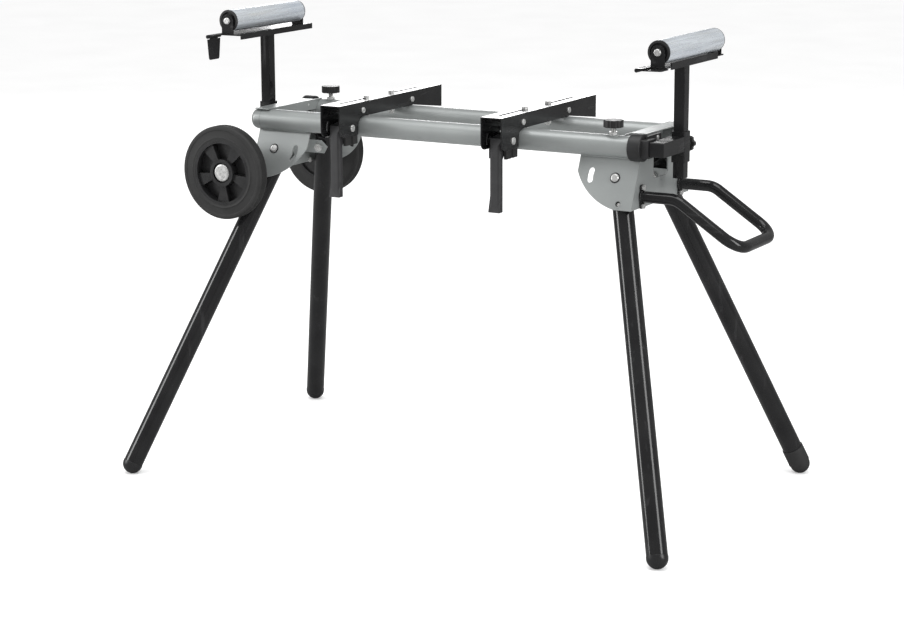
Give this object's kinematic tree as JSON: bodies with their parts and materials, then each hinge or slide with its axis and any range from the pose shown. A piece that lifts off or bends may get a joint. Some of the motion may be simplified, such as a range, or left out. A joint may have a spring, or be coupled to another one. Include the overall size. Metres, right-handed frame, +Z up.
{
  "type": "miter saw stand",
  "caption": "Folding miter saw stand with clamp-on tool brackets on round rails, sliding roller arms, splayed folding legs, transport wheels and a carrying handle.",
  "frame": {"origin": "on the floor, midway between the four feet", "axes": "+X along the rails to the handle end, +Y away from the user, +Z up"},
  "size_m": [1.2606, 0.73, 0.946],
  "materials": {
    "grey_painted_steel": "satin grey metallic paint",
    "black_painted_steel": "gloss black powder coat",
    "black_plastic": "moulded black plastic",
    "rubber_tread": "solid black rubber",
    "zinc_plated_roller": "bright zinc plate",
    "bright_steel": "bright zinc plate"
  },
  "bodies": {
    "frame": {"front_rail": "grey_painted_steel", "back_rail": "grey_painted_steel", "rail_end_caps": "grey_painted_steel", "arm_guides": "black_plastic", "cross_channels": "grey_painted_steel", "guide_screws": "bright_steel", "right_leg_bracket": "grey_painted_steel", "left_leg_bracket": "grey_painted_steel", "leg_pivot_bolts": "bright_steel", "carry_handle": "black_painted_steel", "wheel_bracket": "black_painted_steel", "wheel_axles": "bright_steel", "mount_bolts": "bright_steel", "lock_bosses": "bright_steel"},
    "right_arm": {"right_arm": "black_painted_steel"},
    "right_roller_head": {"right_post": "black_painted_steel", "right_roller_bracket": "black_painted_steel", "right_roller_axle": "bright_steel"},
    "right_roller": {"right_roller": "zinc_plated_roller", "right_roller_caps": "black_plastic"},
    "right_stop_flap": {"right_stop_flap": "black_painted_steel"},
    "right_post_knob": {"right_post_knob": "black_plastic"},
    "right_arm_knob": {"right_arm_knob": "black_plastic"},
    "left_arm": {"left_arm": "black_painted_steel"},
    "left_roller_head": {"left_post": "black_painted_steel", "left_roller_bracket": "black_painted_steel", "left_roller_axle": "bright_steel"},
    "left_roller": {"left_roller": "zinc_plated_roller", "left_roller_caps": "black_plastic"},
    "left_stop_flap": {"left_stop_flap": "black_painted_steel"},
    "left_post_knob": {"left_post_knob": "black_plastic"},
    "left_arm_knob": {"left_arm_knob": "black_plastic"},
    "left_saw_bracket": {"left_saw_bracket": "black_painted_steel", "left_cross_bolts": "bright_steel"},
    "left_clamp_lever": {"left_clamp_lever": "black_plastic"},
    "left_clamp_jaw": {"left_clamp_jaw": "black_plastic"},
    "left_front_tool_bolt": {"left_front_tool_bolt": "bright_steel"},
    "left_back_tool_bolt": {"left_back_tool_bolt": "bright_steel"},
    "right_saw_bracket": {"right_saw_bracket": "black_painted_steel", "right_cross_bolts": "bright_steel"},
    "right_clamp_lever": {"right_clamp_lever": "black_plastic"},
    "right_clamp_jaw": {"right_clamp_jaw": "black_plastic"},
    "right_front_tool_bolt": {"right_front_tool_bolt": "bright_steel"},
    "right_back_tool_bolt": {"right_back_tool_bolt": "bright_steel"},
    "front_right_leg": {"front_right_leg": "black_painted_steel", "front_right_foot": "black_plastic"},
    "front_right_lock_button": {"front_right_lock_button": "bright_steel"},
    "back_right_leg": {"back_right_leg": "black_painted_steel"},
    "back_right_lock_button": {"back_right_lock_button": "bright_steel"},
    "back_right_foot": {"back_right_foot": "black_plastic"},
    "front_left_leg": {"front_left_leg": "black_painted_steel", "front_left_foot": "black_plastic"},
    "front_left_lock_button": {"front_left_lock_button": "bright_steel"},
    "back_left_leg": {"back_left_leg": "black_painted_steel", "back_left_foot": "black_plastic"},
    "back_left_lock_button": {"back_left_lock_button": "bright_steel"},
    "front_wheel": {"front_wheel_hub": "black_plastic", "front_tyre": "rubber_tread"},
    "back_wheel": {"back_wheel_hub": "black_plastic", "back_tyre": "rubber_tread"}
  },
  "joints": [
    {"name": "right_arm_slide", "type": "slide", "parent": "frame", "child": "right_arm", "axis": [1, 0, 0], "range_m": [0, 0.722]},
    {"name": "right_post_slide", "type": "slide", "parent": "right_arm", "child": "right_roller_head", "axis": [0, 0, 1], "range_m": [-0.089, 0.031]},
    {"name": "right_roller_spin", "type": "hinge", "parent": "right_roller_head", "child": "right_roller", "pos_m": [0.483, 0, 0.9065], "axis": [0, 1, 0], "continuous": true},
    {"name": "right_stop_flap_hinge", "type": "hinge", "parent": "right_roller_head", "child": "right_stop_flap", "pos_m": [0.455, -0.139, 0.8756], "axis": [0, -1, 0], "range_deg": [-270, 0]},
    {"name": "right_post_knob_turn", "type": "hinge", "parent": "right_arm", "child": "right_post_knob", "pos_m": [0.4735, 0.0259, 0.717], "axis": [0, 1, 0], "range_deg": [0, 360]},
    {"name": "right_arm_knob_turn", "type": "hinge", "parent": "frame", "child": "right_arm_knob", "pos_m": [0.377, -0.0923, 0.756], "axis": [0, 0, 1], "range_deg": [0, 360]},
    {"name": "left_arm_slide", "type": "slide", "parent": "frame", "child": "left_arm", "axis": [-1, 0, 0], "range_m": [0, 0.722]},
    {"name": "left_post_slide", "type": "slide", "parent": "left_arm", "child": "left_roller_head", "axis": [0, 0, 1], "range_m": [-0.106, 0.014]},
    {"name": "left_roller_spin", "type": "hinge", "parent": "left_roller_head", "child": "left_roller", "pos_m": [-0.483, 0, 0.9235], "axis": [0, 1, 0], "continuous": true},
    {"name": "left_stop_flap_hinge", "type": "hinge", "parent": "left_roller_head", "child": "left_stop_flap", "pos_m": [-0.511, -0.139, 0.8926], "axis": [0, -1, 0], "range_deg": [-180, 90]},
    {"name": "left_post_knob_turn", "type": "hinge", "parent": "left_arm", "child": "left_post_knob", "pos_m": [-0.4735, -0.0259, 0.717], "axis": [0, -1, 0], "range_deg": [0, 360]},
    {"name": "left_arm_knob_turn", "type": "hinge", "parent": "frame", "child": "left_arm_knob", "pos_m": [-0.377, 0.0923, 0.756], "axis": [0, 0, 1], "range_deg": [0, 360]},
    {"name": "left_saw_bracket_slide", "type": "slide", "parent": "frame", "child": "left_saw_bracket", "axis": [1, 0, 0], "range_m": [-0.13, 0.15]},
    {"name": "left_clamp_lever_hinge", "type": "hinge", "parent": "left_saw_bracket", "child": "left_clamp_lever", "pos_m": [-0.1992, -0.139, 0.724], "axis": [-1, 0, 0], "range_deg": [0, 95]},
    {"name": "left_clamp_jaw_slide", "type": "slide", "parent": "left_saw_bracket", "child": "left_clamp_jaw", "axis": [0, -1, 0], "range_m": [0, 0.0025]},
    {"name": "left_front_tool_bolt_slide", "type": "slide", "parent": "left_saw_bracket", "child": "left_front_tool_bolt", "axis": [0, 1, 0], "range_m": [-0.018, 0]},
    {"name": "left_back_tool_bolt_slide", "type": "slide", "parent": "left_saw_bracket", "child": "left_back_tool_bolt", "axis": [0, 1, 0], "range_m": [0, 0.018]},
    {"name": "right_saw_bracket_slide", "type": "slide", "parent": "frame", "child": "right_saw_bracket", "axis": [1, 0, 0], "range_m": [-0.15, 0.165]},
    {"name": "right_clamp_lever_hinge", "type": "hinge", "parent": "right_saw_bracket", "child": "right_clamp_lever", "pos_m": [0.1648, -0.139, 0.724], "axis": [-1, 0, 0], "range_deg": [0, 95]},
    {"name": "right_clamp_jaw_slide", "type": "slide", "parent": "right_saw_bracket", "child": "right_clamp_jaw", "axis": [0, -1, 0], "range_m": [0, 0.0025]},
    {"name": "right_front_tool_bolt_slide", "type": "slide", "parent": "right_saw_bracket", "child": "right_front_tool_bolt", "axis": [0, 1, 0], "range_m": [-0.018, 0]},
    {"name": "right_back_tool_bolt_slide", "type": "slide", "parent": "right_saw_bracket", "child": "right_back_tool_bolt", "axis": [0, 1, 0], "range_m": [0, 0.018]},
    {"name": "front_right_leg_fold", "type": "hinge", "parent": "frame", "child": "front_right_leg", "pos_m": [0.3885, -0.08347, 0.65423], "axis": [0, 0.9247, -0.3806], "range_deg": [0, 109]},
    {"name": "front_right_lock_button_press", "type": "slide", "parent": "front_right_leg", "child": "front_right_lock_button", "axis": [0, -0.9247, 0.3806], "range_m": [0, 0.006]},
    {"name": "back_right_leg_fold", "type": "hinge", "parent": "frame", "child": "back_right_leg", "pos_m": [0.3885, 0.08347, 0.65423], "axis": [0, 0.9247, 0.3806], "range_deg": [0, 109]},
    {"name": "back_right_lock_button_press", "type": "slide", "parent": "back_right_leg", "child": "back_right_lock_button", "axis": [0, 0.9247, 0.3806], "range_m": [0, 0.006]},
    {"name": "back_right_foot_adjust", "type": "slide", "parent": "back_right_leg", "child": "back_right_foot", "axis": [0.2909, 0.3641, -0.8848], "range_m": [-0.01, 0.01]},
    {"name": "front_left_leg_fold", "type": "hinge", "parent": "frame", "child": "front_left_leg", "pos_m": [-0.3885, -0.08347, 0.65423], "axis": [0, -0.9247, 0.3806], "range_deg": [0, 86]},
    {"name": "front_left_lock_button_press", "type": "slide", "parent": "front_left_leg", "child": "front_left_lock_button", "axis": [0, -0.9247, 0.3806], "range_m": [0, 0.006]},
    {"name": "back_left_leg_fold", "type": "hinge", "parent": "frame", "child": "back_left_leg", "pos_m": [-0.3885, 0.08347, 0.65423], "axis": [0, -0.9247, -0.3806], "range_deg": [0, 86]},
    {"name": "back_left_lock_button_press", "type": "slide", "parent": "back_left_leg", "child": "back_left_lock_button", "axis": [0, 0.9247, 0.3806], "range_m": [0, 0.006]},
    {"name": "front_wheel_spin", "type": "hinge", "parent": "frame", "child": "front_wheel", "pos_m": [-0.4577, 0, 0.6205], "axis": [0, 1, 0], "continuous": true},
    {"name": "back_wheel_spin", "type": "hinge", "parent": "frame", "child": "back_wheel", "pos_m": [-0.4577, 0, 0.6205], "axis": [0, 1, 0], "continuous": true}
  ],
  "couplings": [
    {"joint": "left_clamp_jaw_slide", "follows": "left_clamp_lever_hinge", "m_per_rad": 0.0015},
    {"joint": "right_clamp_jaw_slide", "follows": "right_clamp_lever_hinge", "m_per_rad": 0.0015}
  ]
}
